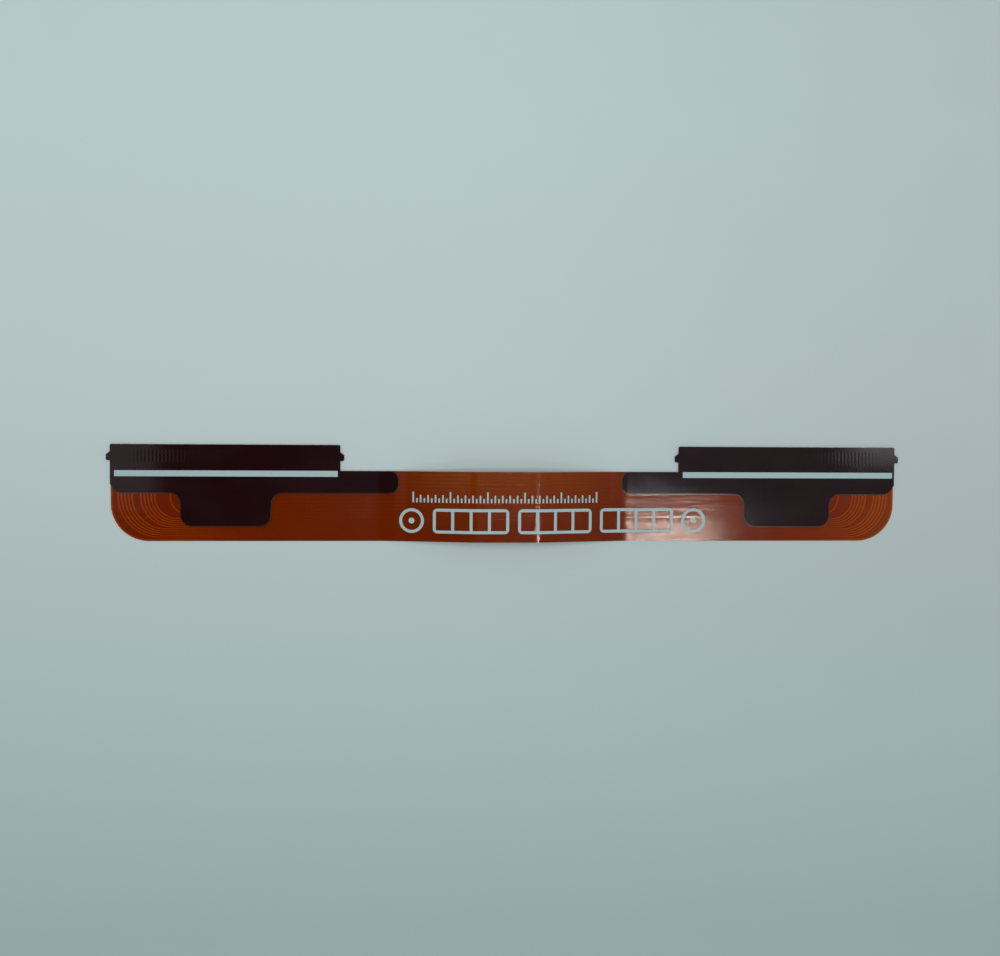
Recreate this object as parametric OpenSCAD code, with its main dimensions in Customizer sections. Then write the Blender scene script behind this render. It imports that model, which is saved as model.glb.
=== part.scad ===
// Flexible printed circuit that joins two boards lying side by side.
// A strip of film carries nested copper tracks from one contact finger to the other. Both fingers
// point towards +Y and are backed by a stiffener on top; the contacts are bare on the underside.
// Millimetres. +X runs along the strip, +Y towards the finger tips, +Z up through the stiffeners.
// The origin is on the resting plane, under the middle of the outline.

/* [Outline] */
// Length over the outer edges of the two contact fingers
overall_l = 107.3; // [104:0.1:112]
// Height of the strip between the fingers
strip_h = 9.5; // [9:0.1:11]
// How far each finger stands past the strip's upper edge
finger_reach = 3.5; // [3.3:0.1:3.8]
// Radius of the strip's two lower corners
corner_r = 5; // [3:0.1:5.5]
// Radius of the corners at the finger tips
tip_r = 0.2; // [0.1:0.05:0.4]
// Step inwards from the finger's outer edge to the edge of the film below it
edge_step = 0.05; // [0.02:0.01:0.3]
// Distance from the tip to that step
step_from_tip = 5.4; // [4.6:0.1:5.6]

/* [Locking ears] */
// How far an ear stands out from the side of a finger
ear_w = 0.52; // [0.3:0.02:0.8]
// Distance from the tip to the start of an ear's slope
ear_from_tip = 0.98; // [0.6:0.02:1.2]
// Length of an ear along the finger
ear_l = 1.2; // [1:0.05:1.4]
// Length of the slope that leads an ear past its latch
ear_lead = 0.4; // [0.2:0.05:0.5]
// Radius of the shoulder that the latch holds
ear_r = 0.25; // [0.1:0.05:0.28]

/* [Layers] */
// Full thickness of a finger over its contacts
finger_t = 0.3; // [0.28:0.01:0.4]
// Cover film on the underside
cover_t = 0.05; // [0.03:0.005:0.08]
// Copper of the tracks
copper_t = 0.035; // [0.018:0.001:0.05]
// Base film
base_t = 0.03; // [0.02:0.005:0.06]
// Bonding sheet between base film and stiffener
bond_t = 0.03; // [0.02:0.005:0.06]
// Printed ink
ink_t = 0.02; // [0.01:0.005:0.03]

/* [Arch] */
// Height of the arch in the middle of the strip
arch_h = 2.8; // [1:0.1:4]
// Distance between the feet of the arch
arch_span = 35.4; // [32:0.2:38]
// Length of the flat crown
arch_top = 7.4; // [6:0.2:13]
// Offset of the arch from the middle of the strip
arch_x = -0.7; // [-2:0.1:2]
// Radius of the bend at a foot
foot_r = 18; // [6:0.5:18]
// Radius of the bend at the crown
crown_r = 6; // [3:0.5:10]

/* [Contacts] */
// Pitch of the contacts
contact_pitch = 0.5; // [0.49:0.005:0.52]
// Width of one contact
contact_w = 0.3; // [0.2:0.01:0.36]
// Distance from the tip to the end of the contacts
contact_from_tip = 0.3; // [0.1:0.05:0.5]
// Length of a contact
contact_l = 2.5; // [2.2:0.05:2.6]
// Contact length that the cover film leaves bare, measured from the tip
bare_l = 2.4; // [2:0.05:2.6]
// Length over which contacts gather into their track
gather_l = 0.3; // [0.2:0.05:0.4]

/* [Tracks] */
// Copper-free margin along every film edge
margin = 0.23; // [0.15:0.01:0.3]
// Signal tracks on each side of the wide ground track
signal_n = 4; // [2:1:5]
// Power tracks
power_n = 12; // [10:1:14]
// Contacts that feed each power track
power_feed = 4; // [3:1:4]
// Contacts that feed the rim track, and the wide ground track
ground_feed = 2; // [2:1:3]
// Room that the rim track takes in a finger
rim_pitch = 0.7; // [0.5:0.05:0.9]
// Room that a signal track takes in a finger
signal_pitch = 0.46; // [0.4:0.01:0.5]
// Room that the wide ground track takes in a finger
ground_pitch = 1.15; // [0.8:0.05:1.4]
// Room that a rim, signal or ground track takes in the strip
fine_pitch = 0.28; // [0.2:0.01:0.32]
// Gap between tracks in a finger
finger_gap = 0.2; // [0.1:0.01:0.24]
// Gap between tracks in the strip
strip_gap = 0.12; // [0.08:0.01:0.14]
// Height above the strip's lower edge where the outer tracks start to bend
bend_from = 6; // [5.6:0.1:7]
// Smallest bend of the inner tracks
bend_min = 0.4; // [0.2:0.05:0.45]

/* [Stiffeners] */
// Length of the stiffener along the finger, from the tip
plate_l = 6.5; // [6:0.1:7]
// Radius of its lower outer corner
plate_r = 1.5; // [0.5:0.1:2]
// Width of the tab below the finger
tab_w = 12; // [8:0.1:16]
// How far the tab reaches below the stiffener
tab_l = 4.48; // [3.4:0.01:5]
// Radius of the tab's corners and of the fillets at its root
tab_r = 1.5; // [0.5:0.1:1.6]
// How far the tongue runs along the strip from the finger's inner edge
tongue_l = 7.83; // [4:0.01:9]
// Radius of the tongue's end corners
tongue_r = 1.2; // [0.5:0.1:1.4]
// Width of the bead that the bond forms round the stiffener on the film
bead_w = 0.12; // [0.05:0.01:0.2]

/* [Insertion lines] */
// Distance from the tip to an insertion line
line_from_tip = 3.5; // [3:0.05:4.5]
// Width of an insertion line
line_w = 0.8; // [0.4:0.02:1]
// Length of an insertion line
line_l = 29.6; // [26:0.1:29.8]
// Sideways print offset of the left line
line_off_left = 0.12; // [-0.2:0.01:0.2]
// Sideways print offset of the right line
line_off_right = 0.14; // [-0.25:0.01:0.25]

/* [Legend] */
// Width of the printed strokes
stroke = 0.4; // [0.2:0.02:0.5]
// Height of the marking grid's cells
cell_h = 3.35; // [2.5:0.05:3.6]
// Outer corner radius of a marking grid
cell_r = 0.6; // [0.4:0.05:1]
// Marking grids in the row
grid_n = 3; // [2:1:4]
// Cells in each grid
cell_n = 4; // [3:1:5]
// Space between the marks in the row
mark_gap = 1.2; // [0.6:0.1:1.6]
// Height of the row above the strip's lower edge
row_y = 1.15; // [0.8:0.05:1.5]
// Left and right ends of the row
row_left = -15.2; // [-18:0.1:-12]
row_right = 27; // [22:0.1:29]
// Steps of the printed scale
scale_n = 50; // [40:1:50]
// Length of one step
tick_pitch = 0.5; // [0.4:0.05:0.5]
// Width of a scale tick
tick_w = 0.22; // [0.15:0.01:0.3]
// Height of the longest ticks
tick_h = 1.45; // [1:0.05:1.7]
// Left end of the scale
scale_left = -13.3; // [-14:0.1:-11]
// Height of the scale above the strip's lower edge
scale_y = 5.3; // [5.1:0.05:5.6]

/* [Hidden] */
$fn = 64;

amber = [0.62, 0.27, 0.05];
adhesive_gold = [0.75, 0.5, 0.15];
copper = [0.55, 0.27, 0.12];
dark_brown = [0.16, 0.09, 0.09];
bond_tan = [0.42, 0.33, 0.22];
ink_white = [0.85, 0.89, 0.89];

// Plan positions, from the middle of the outline
total_h = strip_h + finger_reach;
// How far a shape that cuts runs past what it cuts
over = total_h;
tip_y = total_h / 2;
strip_top = tip_y - finger_reach;
strip_low = -total_h / 2;
plate_low = tip_y - plate_l;
half_l = overall_l / 2;
film_x = half_l - edge_step;

// Heights above the resting plane at which each layer starts
copper_z = cover_t;
base_z = copper_z + copper_t;
film_top = base_z + base_t;
plate_z = film_top + bond_t;
plate_top = cover_t + finger_t;

// Tracks are counted from the rim inwards: the rim, signals, the wide ground track, signals, power
fine_n = 2 + 2 * signal_n;
track_n = fine_n + power_n;
wide_ground = 1 + signal_n;
function is_ground(t) = t == 0 || t == wide_ground;
function is_power(t) = t >= fine_n;
function feed(t) = is_ground(t) ? ground_feed : is_power(t) ? power_feed : 1;

// Sum of f(0) to f(n - 1)
function total(f, n) = n <= 0 ? 0 : f(n - 1) + total(f, n - 1);

contact_n = total(function(t) feed(t), track_n);
finger_w = (contact_n + 1) * contact_pitch;
inner_x = half_l - finger_w;
finger_mid = half_l - finger_w / 2;
contact_top = tip_y - contact_from_tip;
contact_low = contact_top - contact_l;
gather_low = contact_low - gather_l;
function contact_x(k) = half_l - contact_pitch * (k + 1);

// Room that each track takes in a finger and in the strip: the power tracks share what is left
copper_w = film_x - inner_x - 2 * margin;
power_pitch = (copper_w - rim_pitch - ground_pitch - 2 * signal_n * signal_pitch) / power_n;
power_run = (strip_h - 2 * margin - fine_n * fine_pitch) / power_n;
function finger_room(t) = t == 0 ? rim_pitch
    : is_ground(t) ? ground_pitch
    : is_power(t) ? power_pitch : signal_pitch;
function strip_room(t) = is_power(t) ? power_run : fine_pitch;

// Line t runs between track t - 1 and track t; half a gap lies on each side of it
function line_x(t) = film_x - margin - total(function(i) finger_room(i), t);
function line_y(t) = strip_low + margin + total(function(i) strip_room(i), t);
function inner_gap(t) = t == track_n - 1 ? 0 : 1;
function outer_gap(t) = t == 0 ? 0 : 1;
function bend_r(y) = max(bend_min, strip_low + bend_from - y);

// The ramps between the foot bends and the crown bends stay straight for a part of their length,
// so the bends are limited by the room that the ramps have
ramp_run = (arch_span - arch_top) / 2;
room_r = 0.98 * (pow(ramp_run, 2) + pow(arch_h, 2)) / (2 * arch_h);
bends_r = min(foot_r + crown_r, room_r);
foot_bend_r = foot_r * bends_r / (foot_r + crown_r);
crown_bend_r = bends_r - foot_bend_r;
ramp_a = atan2(ramp_run, bends_r - arch_h) - acos(bends_r / norm([ramp_run, bends_r - arch_h]));
bend_steps = 5;

// Side view of one ramp, from a foot at the origin up to the crown, for a surface of the laminate
// that lies "up" above its lower face
function foot_bend(up) = [
    for (i = [0:bend_steps]) let (a = ramp_a * i / bend_steps)
        [(foot_bend_r - up) * sin(a), foot_bend_r - (foot_bend_r - up) * cos(a)]
];
function crown_bend(up) = [
    for (i = [bend_steps:-1:0]) let (a = ramp_a * i / bend_steps)
        [
            ramp_run - (crown_bend_r + up) * sin(a),
            arch_h - crown_bend_r + (crown_bend_r + up) * cos(a)
        ]
];
function ramp(up) = concat(foot_bend(up), crown_bend(up));
function reversed(list) = [for (i = [len(list) - 1:-1:0]) list[i]];
function side_line(up) = concat(
    [[-overall_l, up]],
    [for (p = ramp(up)) [arch_x - arch_span / 2 + p.x, p.y]],
    [for (p = reversed(ramp(up))) [arch_x + arch_span / 2 - p.x, p.y]],
    [[overall_l, up]]
);

// One layer of the laminate: a plan outline swept over the arch between two heights
module layer(low, high) {
    intersection() {
        translate([0, 0, -over])
            linear_extrude(arch_h + high + 2 * over)
                children();
        rotate([90, 0, 0])
            linear_extrude(2 * over, center = true)
                polygon(concat(side_line(high), reversed(side_line(low))));
    }
}

module both_sides() {
    children();
    mirror([1, 0])
        children();
}

// What lies between a corner at the origin and an arc tangent to +X and +Y, and "past" beyond it
module corner_piece(r, past) {
    difference() {
        translate([-past, -past])
            square(r + past);
        translate([r, r])
            circle(r);
    }
}

// Rectangle between two points; radii go round from the lower left corner anticlockwise
module corner_box(low, high, radii = [0, 0, 0, 0]) {
    size = high - low;
    corners = [low, [high.x, low.y], high, [low.x, high.y]];
    difference() {
        translate(low)
            square(size);
        for (i = [0:3])
            if (radii[i] > 0)
                translate(corners[i])
                    rotate(90 * i)
                        corner_piece(radii[i], over);
    }
}

// Locking ear: a slope on the tip side and a rounded shoulder behind it
module ear() {
    difference() {
        polygon([[-ear_w, -ear_l], [ear_w, -ear_l], [ear_w, -ear_lead], [0, 0], [-ear_w, 0]]);
        translate([ear_w, -ear_l])
            rotate(90)
                corner_piece(ear_r, over);
    }
}

// Right finger from its tip down to the step in its outer edge, with an ear on each side
module finger_head() {
    corner_box([inner_x, tip_y - step_from_tip], [half_l, tip_y], [0, 0, tip_r, tip_r]);
    translate([half_l, tip_y - ear_from_tip])
        ear();
    translate([inner_x, tip_y - ear_from_tip])
        mirror([1, 0])
            ear();
}

module film_outline() {
    corner_box([-film_x, strip_low], [film_x, strip_top], [corner_r, corner_r, 0, 0]);
    both_sides() {
        finger_head();
        corner_box([inner_x, plate_low], [film_x, tip_y - step_from_tip / 2]);
    }
}

// Stiffener on the right finger, with the tab below it and the tongue along the strip. Its edges
// over the film can lie further out, by the width of the bead that the bond forms round it.
module stiffener_outline(bead = 0) {
    low = plate_low - bead;
    tab_x = tab_w / 2 + bead;
    end_r = min(tongue_r, (strip_top - plate_low) / 2) + bead;
    finger_head();
    corner_box([inner_x, low], [film_x, tip_y - step_from_tip / 2], [0, plate_r + bead, 0, 0]);
    intersection() {
        corner_box([inner_x - tongue_l - bead, low], [finger_mid, strip_top + bead], [end_r, 0, 0, end_r]);
        corner_box([0, low], [finger_mid, strip_top]);
    }
    translate([finger_mid, 0]) {
        corner_box([-tab_x, low - tab_l], [tab_x, strip_top], [tab_r + bead, tab_r + bead, 0, 0]);
        both_sides()
            translate([tab_x, low])
                mirror([0, 1])
                    corner_piece(tab_r - bead, tab_r);
    }
}

// Everything inside a track's outer or inner edge, from the gathered contacts down
module inside_edge(x, y, r, top) {
    corner_box([-x, y], [x, top], [r, r, 0, 0]);
}

// Contacts of one track and the taper that gathers them, as one comb
module contact_comb(first, last, lane_out, lane_in) {
    polygon(concat(
        [[lane_out, gather_low]],
        [for (k = [first:last]) each [
            [contact_x(k) + contact_w / 2, contact_low], [contact_x(k) + contact_w / 2, contact_top],
            [contact_x(k) - contact_w / 2, contact_top], [contact_x(k) - contact_w / 2, contact_low]
        ]],
        [[lane_in, gather_low]]
    ));
}

// One conductor, from the contacts of the left finger to the same contacts of the right one
module track_plan(t) {
    first = total(function(i) feed(i), t);
    out_x = line_x(t) - outer_gap(t) * finger_gap / 2;
    out_y = line_y(t) + outer_gap(t) * strip_gap / 2;
    out_r = t == 0 ? corner_r - margin : bend_r(out_y);
    in_x = line_x(t + 1) + inner_gap(t) * finger_gap / 2;
    in_y = line_y(t + 1) - inner_gap(t) * strip_gap / 2;
    difference() {
        inside_edge(out_x, out_y, out_r, gather_low);
        inside_edge(in_x, in_y, bend_r(in_y), gather_low + over);
    }
    both_sides()
        contact_comb(first, first + feed(t) - 1, out_x, in_x);
}

module tracks(list) {
    color(copper)
        for (t = list)
            layer(copper_z, base_z)
                track_plan(t);
}

// Outline of the cover film, which stops short of the tips to leave the contacts bare
module cover_outline() {
    intersection() {
        film_outline();
        corner_box([-overall_l, strip_low - over], [overall_l, tip_y - bare_l]);
    }
}

module cover_film() {
    color(amber)
        layer(0, copper_z)
            cover_outline();
}

// The cover film's adhesive, which fills the room between the tracks
module cover_adhesive() {
    color(adhesive_gold)
        layer(copper_z, base_z)
            difference() {
                cover_outline();
                for (t = [0:track_n - 1])
                    track_plan(t);
            }
}

module ground_tracks() {
    tracks([for (t = [0:track_n - 1]) if (is_ground(t)) t]);
}

module signal_tracks() {
    tracks([for (t = [0:track_n - 1]) if (!is_ground(t) && !is_power(t)) t]);
}

module power_tracks() {
    tracks([for (t = [0:track_n - 1]) if (is_power(t)) t]);
}

module base_film() {
    color(amber)
        layer(base_z, film_top)
            film_outline();
}

module stiffener_bond_right() {
    color(bond_tan)
        layer(film_top, plate_z)
            stiffener_outline(bead_w);
}

module stiffener_bond_left() {
    color(bond_tan)
        layer(film_top, plate_z)
            mirror([1, 0])
                stiffener_outline(bead_w);
}

module stiffener_right() {
    color(dark_brown)
        layer(plate_z, plate_top)
            stiffener_outline();
}

module stiffener_left() {
    color(dark_brown)
        layer(plate_z, plate_top)
            mirror([1, 0])
                stiffener_outline();
}

module insertion_line(mid) {
    color(ink_white)
        layer(plate_top, plate_top + ink_t)
            translate([mid - line_l / 2, tip_y - line_from_tip - line_w])
                square([line_l, line_w]);
}

module insertion_line_left() {
    insertion_line(line_off_left - finger_mid);
}

module insertion_line_right() {
    insertion_line(line_off_right + finger_mid);
}

// Ring and dot that line the film up in its bonding press
module target() {
    difference() {
        circle(d = cell_h);
        circle(d = cell_h - 2 * stroke);
    }
    circle(r = stroke);
}

// Row of blank cells to be marked or punched, from the origin along +X
module grid(cell_w) {
    difference() {
        corner_box([0, 0], [cell_n * cell_w + stroke, cell_h], [cell_r, cell_r, cell_r, cell_r]);
        for (i = [0:cell_n - 1])
            translate([i * cell_w + stroke, stroke])
                square([cell_w - stroke, cell_h - 2 * stroke]);
    }
}

// Row of marking grids between two targets
module marking_grids() {
    row_l = row_right - row_left;
    grid_l = (row_l - 2 * cell_h - (grid_n + 1) * mark_gap) / grid_n;
    color(ink_white)
        layer(film_top, film_top + ink_t)
            translate([row_left, strip_low + row_y]) {
                for (x = [cell_h / 2, row_l - cell_h / 2])
                    translate([x, cell_h / 2])
                        target();
                for (i = [0:grid_n - 1])
                    translate([cell_h + mark_gap + i * (grid_l + mark_gap), 0])
                        grid((grid_l - stroke) / cell_n);
            }
}

// Ticks of a scale, with a longer one at every second step and the longest at every tenth
module printed_scale() {
    color(ink_white)
        layer(film_top, film_top + ink_t)
            for (i = [0:scale_n]) {
                h = tick_h * (i % 10 == 0 ? 1 : i % 2 == 0 ? 0.7 : 0.4);
                translate([scale_left + i * tick_pitch - tick_w / 2, strip_low + scale_y])
                    square([tick_w, h]);
            }
}

cover_film();
cover_adhesive();
ground_tracks();
signal_tracks();
power_tracks();
base_film();
stiffener_bond_left();
stiffener_bond_right();
stiffener_left();
stiffener_right();
insertion_line_left();
insertion_line_right();
marking_grids();
printed_scale();
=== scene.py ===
"""Flat flex cable: a U-shaped flexible printed circuit with a stiffened contact finger at each end."""
from math import pi, tau

import bmesh
import bpy
from mathutils import Matrix, Vector


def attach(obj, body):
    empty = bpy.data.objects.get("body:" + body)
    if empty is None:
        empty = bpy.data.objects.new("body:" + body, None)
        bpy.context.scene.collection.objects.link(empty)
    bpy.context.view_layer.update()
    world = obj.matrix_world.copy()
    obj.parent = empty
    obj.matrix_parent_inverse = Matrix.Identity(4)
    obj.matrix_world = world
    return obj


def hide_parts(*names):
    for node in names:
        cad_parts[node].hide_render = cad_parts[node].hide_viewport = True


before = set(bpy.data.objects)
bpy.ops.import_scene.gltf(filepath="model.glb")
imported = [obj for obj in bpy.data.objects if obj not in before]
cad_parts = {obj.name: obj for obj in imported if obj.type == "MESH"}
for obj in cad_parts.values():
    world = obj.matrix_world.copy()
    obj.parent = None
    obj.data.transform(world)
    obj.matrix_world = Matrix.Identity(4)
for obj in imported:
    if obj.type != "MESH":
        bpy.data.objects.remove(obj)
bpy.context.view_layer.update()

# ==== Camera ====================================================================================
# A small camera held 155 mm over the cable, almost straight down. Its foot is a little left of the
# middle and it leans four degrees to the right, so the left finger is nearer to it.
MM = 0.001
camera_at = Vector((-11.93, 7.67, 154.55)) * MM
aims_at = Vector((-1.49, 2.1, 0)) * MM
camera_roll = 0.0056

forward = (aims_at - camera_at).normalized()
right = forward.cross(Vector((0, 1, 0))).normalized()
lens = bpy.data.cameras.new("camera")
lens.lens = 40.82
lens.clip_start = 0.01
camera = bpy.data.objects.new("camera", lens)
bpy.context.collection.objects.link(camera)
camera.matrix_world = (
    Matrix.Translation(camera_at)
    @ Matrix((right, right.cross(forward), -forward)).transposed().to_4x4()
    @ Matrix.Rotation(camera_roll, 4, "Z")
)
bpy.context.scene.camera = camera
bpy.context.scene.view_settings.view_transform = "Standard"


# ==== Table =====================================================================================
# A matt, pale blue-grey table top. Its colour is painted darker towards the near side and towards
# the right, as painted shade away from the light, and it has the faint mottle of a painted board.
class Socket:
    """One output of a shader node. Arithmetic on it adds Math nodes, and node() adds any other."""

    def __init__(self, tree, output=None):
        self.tree, self.output = tree, output

    def node(self, kind, settings={}, inputs={}, output=0):
        made = self.tree.nodes.new("ShaderNode" + kind)
        for name, value in settings.items():
            if name == "stops":
                for place, colour in value[1:-1]:
                    made.color_ramp.elements.new(place)
                for element, (place, colour) in zip(made.color_ramp.elements, value):
                    element.position, element.color = place, colour
            else:
                setattr(made, name, value)
        for name, value in inputs.items():
            if isinstance(value, Socket):
                self.tree.links.new(value.output, made.inputs[name])
            else:
                made.inputs[name].default_value = value
        return Socket(self.tree, made.outputs[output] if made.outputs else None)

    def maths(self, operation, *values):
        return self.node("Math", {"operation": operation}, dict(enumerate(values)))

    def __add__(self, other):
        return self.maths("ADD", self, other)

    def __sub__(self, other):
        return self.maths("SUBTRACT", self, other)

    def __rsub__(self, other):
        return self.maths("SUBTRACT", other, self)

    def __mul__(self, other):
        return self.maths("MULTIPLY", self, other)

    def __truediv__(self, other):
        return self.maths("DIVIDE", self, other)

    def __abs__(self):
        return self.maths("ABSOLUTE", self)

    __radd__, __rmul__ = __add__, __mul__

    def wave(self, pitch):
        """1 on every pitch and -1 halfway between, as a cosine."""
        return self.maths("COSINE", self * (tau / pitch))

    def step(self, low, high):
        """0 below low and 1 above high, with a smooth rise between."""
        inputs = {"Value": self, "From Min": low, "From Max": high}
        return self.node("MapRange", {"interpolation_type": "SMOOTHSTEP"}, inputs)

    def ridge(self, width):
        """1 where self is 0, falling to 0 at width on either side."""
        return 1 - abs(self).step(0, width)

    def mix(self, low, high):
        """A colour from low to high, by self."""
        return self.node("Mix", {"data_type": "RGBA"}, {0: self, 6: low, 7: high}, 2)

    def noise(self, size, detail=3, stretch=(1, 1, 1)):
        """Fractal noise from 0 to 1 whose lumps are this size in metres, on coordinates in self."""
        scaled = self.node("VectorMath", {"operation": "MULTIPLY"}, {0: self, 1: stretch})
        return self.node("TexNoise", {}, {"Vector": scaled, "Scale": 1 / size, "Detail": detail})

    def bump(self, distance=1.0):
        """A normal from a height in metres."""
        return self.node("Bump", {}, {"Height": self, "Distance": distance})


def new_material(name):
    """An empty material, with its Object coordinates and their X, Y and Z."""
    material = bpy.data.materials.new(name)
    material.use_nodes = True
    material.node_tree.nodes.clear()
    place = Socket(material.node_tree).node("TexCoord", output=3)
    x, y, z = (place.node("SeparateXYZ", {}, {0: place}, i) for i in range(3))
    return material, place, x, y, z


def plastic(place, inputs):
    """A Principled shader with these inputs, linked to the material's output."""
    shader = place.node("BsdfPrincipled", {}, inputs)
    shader.node("OutputMaterial", {}, {"Surface": shader})
    return shader


def rgb(red, green, blue):
    """A display colour, 0 to 255, as linear light."""
    return tuple(
        c / 12.92 if c <= 0.04045 else ((c + 0.055) / 1.055) ** 2.4
        for c in (red / 255, green / 255, blue / 255)
    ) + (1,)


# Table colours from the near side to the far side: the darkening towards the near side is painted
# shade.
TABLE_TONES = [
    (-60 * MM, rgb(152, 170, 171)),
    (-35 * MM, rgb(163, 181, 181)),
    (-12 * MM, rgb(172, 187, 186)),
    (15 * MM, rgb(182, 196, 196)),
    (50 * MM, rgb(186, 202, 203)),
]
table_low, table_high = TABLE_TONES[0][0], TABLE_TONES[-1][0]
table_paint, place, x, y, z = new_material("table_paint")
stops = [((v - table_low) / (table_high - table_low), c) for v, c in TABLE_TONES]
tone = place.node("ValToRGB", {"stops": stops}, {0: (y - table_low) / (table_high - table_low)})
# Painted shade: the right side is painted darker, less so towards the near side.
right_painted_shade = x.step(-20 * MM, 70 * MM) * y.step(-60 * MM, 10 * MM) * 0.09
mottle = (place.noise(9 * MM) - 0.5) * 0.03
plastic(place, {
    "Base Color": (right_painted_shade + mottle).mix(tone, (0, 0, 0, 1)),
    "Roughness": 0.85,
    "Specular IOR Level": 0.15,
    "Normal": (place.noise(0.6 * MM) * 0.01 * MM).bump(),
})

bpy.ops.object.select_all(action="DESELECT")
bpy.ops.mesh.primitive_plane_add(size=3, location=(0, 0, -0.02 * MM))
table = bpy.context.object
table.name = "table"
bpy.ops.object.transform_apply(location=True, rotation=True, scale=True)
table.data.materials.append(table_paint)

# ==== Light =====================================================================================
# A broad soft box lights the table from above and a little from the far left, and a tent with pale
# walls fills the sides. The box doesn't show in the films and plates. They mirror the tent's dim
# ceiling, a box beyond each finger for its sheen, and a small lamp for the glint on the strip. A
# low box on the near side softens the shadows.
tent = bpy.data.worlds.new("tent")
bpy.context.scene.world = tent
tent.use_nodes = True
tent.node_tree.nodes.clear()
start = Socket(tent.node_tree)
direction = start.node("TexCoord", output=0)
sideways, height = (start.node("SeparateXYZ", {}, {0: direction}, i) for i in (0, 2))
ceiling = sideways.step(-0.16, 0.1).mix((0.0, 0.0, 0.0, 1), (0.13, 0.18, 0.2, 1))
wall = start.node("Background", {}, {
    "Color": height.step(0.6, 0.84).mix((0.35, 0.35, 0.35, 1), ceiling),
    "Strength": 1,
})
backdrop = start.node("Background", {}, {"Color": rgb(184, 198, 200), "Strength": 1})
seen = start.node("LightPath", output=0)
tent_shader = start.node("MixShader", {}, {0: seen, 1: wall, 2: backdrop})
start.node("OutputWorld", {}, {"Surface": tent_shader})

# Each lamp's place, width and depth in mm, and its brightness, where 1 is the white of a lit wall.
# All of them hang level.
LAMPS = {
    "top_box": ((-40, 50, 450), 360, 300, 4.75),
    "right_box": ((177, 20, 300), 28, 44, 1.6),
    "left_box": ((-144, 2, 300), 54, 44, 0.42),
    "glint_lamp": ((88, -33, 300), 34, 16, 26),
    "near_box": ((25, -165, 300), 136, 70, 3),
}
for name, (at, width, depth, brightness) in LAMPS.items():
    lamp = bpy.data.lights.new(name, "AREA")
    lamp.shape = "RECTANGLE"
    lamp.size, lamp.size_y = width * MM, depth * MM
    lamp.energy = brightness * pi * lamp.size * lamp.size_y
    holder = bpy.data.objects.new(name, lamp)
    bpy.context.collection.objects.link(holder)
    holder.location = Vector(at) * MM
    holder.visible_glossy = name != "top_box"

# ==== Cover film ================================================================================
# The lower polyimide film, 0.05 mm thick and clear amber. It is laminated under the tracks and cut
# back at the fingers so that the contacts lie bare.
MERGE = 0.0001 * MM  # points closer than this are one
FLAT = 0.002  # radians: faces that meet at less than this are one face
SHARP = 0.5  # radians: bends of more than this are edges


def copy_of(node, name):
    """A copy of a solid as one closed surface of whole flat faces, left in edit mode."""
    piece = bpy.data.objects.new(name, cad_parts[node].data.copy())
    bpy.context.collection.objects.link(piece)
    bpy.ops.object.select_all(action="DESELECT")
    piece.select_set(True)
    bpy.context.view_layer.objects.active = piece
    piece.data.materials.clear()
    bpy.ops.mesh.customdata_custom_splitnormals_clear()
    bpy.ops.object.mode_set(mode="EDIT")
    bpy.ops.mesh.select_all(action="SELECT")
    bpy.ops.mesh.remove_doubles(threshold=MERGE)
    bpy.ops.mesh.dissolve_limited(angle_limit=FLAT)
    bpy.ops.mesh.normals_make_consistent(inside=False)
    return piece


def select_faces(piece, wanted):
    """Selects the faces that wanted(face) is true for, and nothing else."""
    bpy.ops.mesh.select_mode(type="FACE")
    bpy.ops.mesh.select_all(action="DESELECT")
    mesh = bmesh.from_edit_mesh(piece.data)
    for face in mesh.faces:
        face.select = wanted(face)
    mesh.select_flush(True)
    bmesh.update_edit_mesh(piece.data)


def finish_piece(piece, slot, *nodes):
    """Smooths the gentle bends, keeps the edges sharp and hands the piece to the frame."""
    bpy.ops.object.mode_set(mode="OBJECT")
    bpy.ops.object.shade_smooth_by_angle(angle=SHARP)
    even = piece.modifiers.new("even", "WEIGHTED_NORMAL")
    even.keep_sharp = True
    bpy.ops.object.modifier_apply(modifier=even.name)
    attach(piece, "root")
    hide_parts(*nodes)


# Tracks under the films, which stand out through them as low ridges: the fine tracks lie along the
# outer edge and the wide ones inside them. The straight run of the strip ends where the corners start.
STRIP_LOW = -6.27 * MM
RUN_FROM, RUN_TO = 40 * MM, 47 * MM
FINE_PITCH, FINE_N = 0.28 * MM, 10
POWER_PITCH = 0.52 * MM
fine_top = STRIP_LOW + FINE_PITCH * FINE_N
film_clear = 0.004 * MM


def track_relief(x, y):
    """Height of a film over the strip's tracks: it sinks a little at each gap between them."""
    fine = (y - STRIP_LOW).wave(FINE_PITCH).step(0, 1)
    wide = (y - fine_top).wave(POWER_PITCH).step(0.4, 1)
    inside = y.step(fine_top - 0.05 * MM, fine_top + 0.05 * MM)
    in_strip = 1 - abs(x).step(RUN_FROM, RUN_TO)
    return (fine * 0.002 * MM * (1 - inside) + wide * 0.01 * MM * inside) * in_strip * -1


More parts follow.
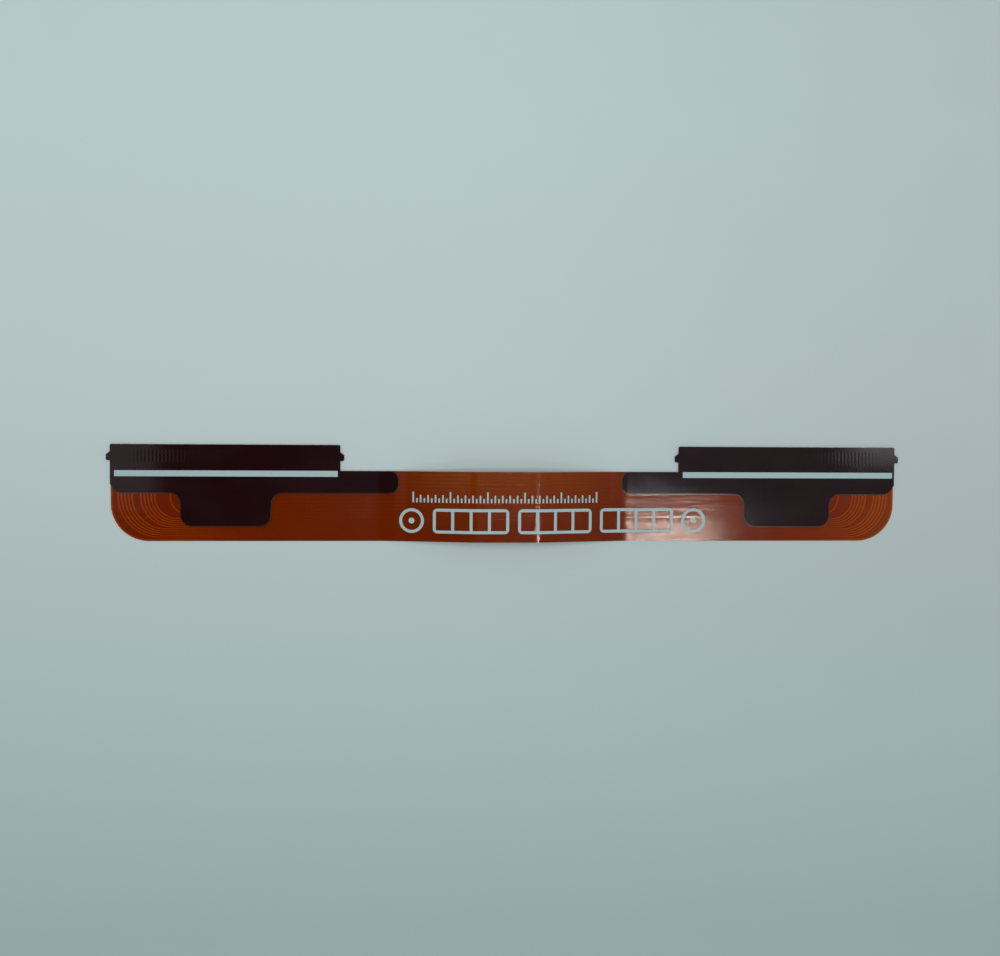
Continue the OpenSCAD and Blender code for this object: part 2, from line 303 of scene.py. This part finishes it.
def amber_film(name, tint, share, height):
    """Clear amber film: a share of it shows its own colour and gloss, the rest what lies behind.

    The amber is painted paler over the arch and towards the right end, as painted sheen from the light
    there.
    """
    material, place, x, y, z = new_material(name)
    # Painted sheen: paler over the arch and at the right end; the noise on top is random tone.
    arch_sheen = (1 - abs(x).step(4 * MM, 20 * MM)) * y.step(-6 * MM, 4 * MM)
    sheen_and_tone = arch_sheen * 0.5 + x.step(43 * MM, 54 * MM) * 0.5 + place.noise(3 * MM, 4) * 0.2
    relief = height(place, x, y)
    surface = place.node("BsdfPrincipled", {}, {
        "Base Color": sheen_and_tone.mix(rgb(108, 36, 2), rgb(172, 104, 26)),
        "Roughness": place.noise(1.2 * MM) * 0.08 + 0.07,
        "IOR": 2.0,
        "Normal": relief.bump(),
    })
    behind = place.node("BsdfTransparent", {}, {"Color": tint})
    both = place.node("MixShader", {}, {0: share, 1: behind, 2: surface})
    place.node("OutputMaterial", {}, {"Surface": both})
    return material


def cover_height(place, x, y):
    return track_relief(x, y) + place.noise(0.5 * MM) * 0.002 * MM


cover_amber = amber_film("cover_amber", (0.88, 0.54, 0.2, 1), 0.25, cover_height)
cover = copy_of("cover_film", "cover_film_sheet")
select_faces(cover, lambda face: face.normal.z > SHARP)
bpy.ops.transform.translate(value=(0, 0, -film_clear))
cover.data.materials.append(cover_amber)
finish_piece(cover, "film", "cover_film")

# ==== Cover adhesive ============================================================================
# Clear adhesive that has flowed between the tracks, 0.035 mm thick. Against the pale table it shows
# as light lines in the wide gaps of the corners, and hardly at all in the strip's narrow gaps, where
# its colour is painted darker as painted shade: little light gets through there.
clear_adhesive, place, x, y, z = new_material("clear_adhesive")
# Painted shade: darker along the strip, where the gaps are narrow.
narrow_gap_shade = (1 - abs(x).step(33 * MM, 46 * MM)) * (0.75 + place.noise(1.5 * MM, 4) * 0.25)
plastic(place, {
    "Base Color": narrow_gap_shade.mix(rgb(220, 214, 186), rgb(128, 92, 52)),
    "Roughness": 0.35,
    "Normal": (place.noise(0.2 * MM) * 0.001 * MM).bump(),
})
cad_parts["cover_adhesive"].data.materials.clear()
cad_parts["cover_adhesive"].data.materials.append(clear_adhesive)

# ==== Tracks ====================================================================================
# Twenty-two etched copper tracks, 0.035 mm thick: nested in a U from finger to finger. Their ends
# past the cover film are the contacts, plated with nickel and gold.
contact_low = 4.1 * MM
copper, place, x, y, z = new_material("copper")
plated = y.step(contact_low - 0.02 * MM, contact_low + 0.02 * MM)
grain = place.noise(0.12 * MM, 4)
bare = place.noise(2 * MM, 4).mix((0.40, 0.17, 0.09, 1), (0.47, 0.21, 0.11, 1))
gold = grain.mix((0.86, 0.60, 0.22, 1), (1.0, 0.74, 0.32, 1))
plastic(place, {
    "Base Color": plated.mix(bare, gold),
    "Metallic": 0.5 + plated * 0.5,
    "Roughness": 0.5 - plated * 0.22 + (grain - 0.5) * 0.1,
    "Normal": (grain * 0.0015 * MM).bump(),
})
for node in ("ground_tracks", "signal_tracks", "power_tracks"):
    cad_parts[node].data.materials.clear()
    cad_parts[node].data.materials.append(copper)

# ==== Base film =================================================================================
# The upper film, 0.03 mm of clear amber polyimide over the whole outline. It carries the tracks and
# shows them as low ridges. Handling has left fine streaks along the strip, and a crease at each end
# of the arch's crown.
def crease(x, y, top, lean, width):
    """1 on a line that leaves the strip's far edge at top and leans by lean mm for each mm down."""
    return (x - top * MM - (y - 3 * MM) * lean).ridge(width)


def base_height(place, x, y):
    lower_part = 1 - y.step(-3 * MM, 2.5 * MM) * 0.8
    dashes = place.noise(0.7 * MM, 2, (0.3, 1, 1)).step(0.4, 0.65) * 0.7 + 0.3
    long_crease = crease(x, y, -2.45, 0.3, 0.22 * MM) * 0.02 * MM
    short_crease = crease(x, y, 3.4, 0.053, 0.2 * MM) * 0.014 * MM
    streaks = place.noise(1.2 * MM, 3, (0.12, 1.6, 1)) * 0.012 * MM
    creases = (long_crease + short_crease) * lower_part * dashes
    return track_relief(x, y) + streaks + creases


base_amber = amber_film("base_amber", (0.88, 0.54, 0.2, 1), 0.25, base_height)
base = copy_of("base_film", "base_film_sheet")
select_faces(base, lambda face: face.normal.z < -SHARP)
bpy.ops.transform.translate(value=(0, 0, film_clear))
base.data.materials.append(base_amber)
finish_piece(base, "film", "base_film")

# ==== Stiffener bonds ===========================================================================
# Clear bonding adhesive under each stiffener, 0.03 mm thick. It has been squeezed out along the
# stiffener's edges into a narrow shiny bead.
bead_gloss, place, x, y, z = new_material("bead_gloss")
plastic(place, {
    "Base Color": place.noise(0.8 * MM).mix(rgb(52, 22, 10), rgb(78, 38, 16)),
    "Roughness": 0.16,
    "IOR": 1.6,
    "Coat Weight": 1.0,
    "Coat IOR": 1.7,
    "Coat Roughness": 0.1,
    "Normal": (place.noise(0.3 * MM) * 0.004 * MM).bump(),
})
BEAD_W, BEAD_FALL = 0.11 * MM, 0.026 * MM  # the bead slopes down this much over its width


def select_rim(piece):
    """Selects the outer edge of the top face."""
    bpy.ops.mesh.select_mode(type="VERT")
    bpy.ops.mesh.select_all(action="DESELECT")
    mesh = bmesh.from_edit_mesh(piece.data)
    top = max(vert.co.z for vert in mesh.verts)
    for vert in mesh.verts:
        on_side = any(abs(face.normal.z) < SHARP for face in vert.link_faces)
        vert.select = on_side and vert.co.z > top - MERGE
    mesh.select_flush(True)
    bmesh.update_edit_mesh(piece.data)


for side in ("left", "right"):
    bead = copy_of("stiffener_bond_" + side, "bond_bead_" + side)
    select_faces(bead, lambda face: face.normal.z > SHARP)
    bpy.ops.mesh.inset(thickness=BEAD_W)
    select_rim(bead)
    bpy.ops.transform.translate(value=(0, 0, -BEAD_FALL))
    bead.data.materials.append(bead_gloss)
    finish_piece(bead, "bond", "stiffener_bond_" + side)

# ==== Stiffeners ================================================================================
# Dark brown polyimide plates, 0.2 mm thick, punched to shape with a locking ear on each side. The
# satin face is a little hazy and shows the contacts below as a faint comb.
HALF_L = 53.65 * MM
CONTACT_PITCH = 0.5 * MM
EDGE_BEVEL = 0.03 * MM
plate_brown, place, x, y, z = new_material("plate_brown")
haze = place.noise(7 * MM, 4, (0.6, 1, 1)).step(0.35, 0.75)
comb = (HALF_L - abs(x)).wave(CONTACT_PITCH)
comb = comb * y.step(3.9 * MM, 4.3 * MM) * (1 - y.step(5.7 * MM, 6 * MM))
plastic(place, {
    "Base Color": haze.mix(rgb(27, 8, 10), rgb(32, 14, 16)),
    "Roughness": haze * 0.05 + 0.07,
    "Normal": (comb * 0.001 * MM + place.noise(0.25 * MM) * 0.001 * MM).bump(),
})
cut_edge, place, x, y, z = new_material("cut_edge")
plastic(place, {
    "Base Color": place.noise(0.3 * MM).mix(rgb(52, 22, 26), rgb(74, 36, 40)),
    "Roughness": 0.4,
    "Normal": (place.noise(0.1 * MM) * 0.003 * MM).bump(),
})
for side in ("left", "right"):
    plate = copy_of("stiffener_" + side, "stiffener_plate_" + side)
    plate.data.materials.append(plate_brown)
    plate.data.materials.append(cut_edge)
    select_faces(plate, lambda face: face.normal.z > SHARP)
    bpy.ops.mesh.region_to_loop()
    bpy.ops.mesh.bevel(
        offset=EDGE_BEVEL, segments=3, affect="EDGES", clamp_overlap=True, material=1
    )
    select_faces(plate, lambda face: abs(face.normal.z) < SHARP)
    plate.active_material_index = 1
    bpy.ops.object.material_slot_assign()
    finish_piece(plate, "stiffener", "stiffener_" + side)

# ==== Printing ==================================================================================
# White screen-printed ink, 0.02 mm thick: an insertion line on each stiffener, and on the film a
# row of blank cells between two round targets, with a ruled scale above it.
ink, place, x, y, z = new_material("ink")
speckle = place.noise(0.15 * MM, 4)
plastic(place, {
    "Base Color": speckle.mix(rgb(143, 166, 168), rgb(160, 182, 183)),
    "Roughness": 0.55,
    "Normal": (speckle * 0.004 * MM).bump(),
})
for node in ("insertion_line_left", "insertion_line_right", "marking_grids", "printed_scale"):
    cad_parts[node].data.materials.clear()
    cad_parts[node].data.materials.append(ink)
